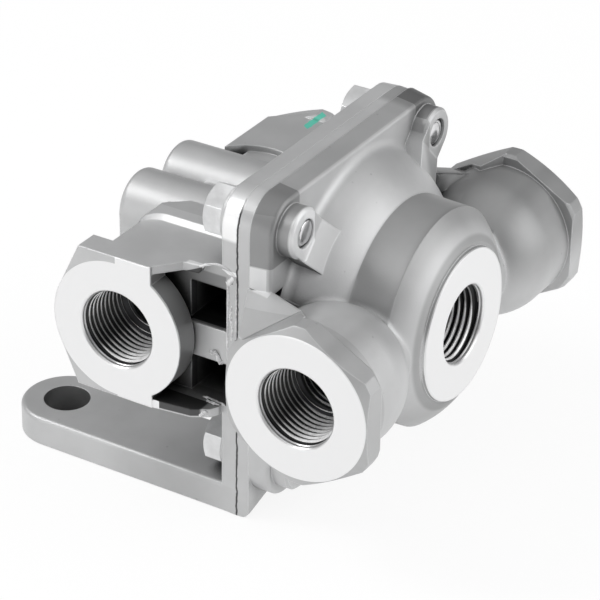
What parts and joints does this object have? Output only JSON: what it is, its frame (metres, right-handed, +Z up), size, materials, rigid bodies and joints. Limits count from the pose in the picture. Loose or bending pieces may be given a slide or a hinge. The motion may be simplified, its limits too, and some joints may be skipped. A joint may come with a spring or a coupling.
{
  "type": "quick exhaust valve",
  "caption": "Cast aluminium quick exhaust valve: two side inlets with a shuttle check, two side outlets, a central exhaust port, a square bolted joint and a bracket arm.",
  "frame": {"origin": "centre of the bracket hole at the arm's lower face", "axes": "+X along the main axis, from the inlets to the exhaust port; +Y along the port pairs, from the front ports to the rear ones; +Z up, along the bracket hole"},
  "size_m": [0.1251, 0.1198, 0.0951],
  "materials": {
    "cast_aluminium": "satin, bead blasted",
    "plated_steel": "zinc plated, bright",
    "spring_steel": "drawn wire, satin",
    "brass": "turned, satin",
    "rubber": "matt",
    "machined_aluminium": "turned, bright"
  },
  "bodies": {
    "housing": {"supply_housing": "cast_aluminium", "outlet_housing": "cast_aluminium", "cover_bolts": "plated_steel", "joint_seal": "rubber", "check_seat_front": "brass", "check_seat_rear": "brass", "check_seat_seal": "rubber", "check_snap_ring": "spring_steel", "inlet_seat": "brass", "inlet_seat_seal": "rubber", "exhaust_seat": "brass", "exhaust_seat_seal": "rubber", "return_spring": "spring_steel"},
    "release_valve": {"diaphragm": "rubber", "follower": "machined_aluminium", "release_pad": "rubber", "clamp_washer": "plated_steel", "clamp_screw": "plated_steel"},
    "shuttle": {"shuttle": "machined_aluminium", "shuttle_pad_front": "rubber", "shuttle_pad_rear": "rubber"}
  },
  "joints": [
    {"name": "release_slide", "type": "slide", "parent": "housing", "child": "release_valve", "axis": [1, 0, 0], "range_m": [0, 0.0024], "stiffness_N_per_m": 300, "springref_m": -0.008, "deforming": ["return_spring"]},
    {"name": "shuttle_slide", "type": "slide", "parent": "housing", "child": "shuttle", "axis": [0, 1, 0], "range_m": [-0.004, 0.004]}
  ]
}
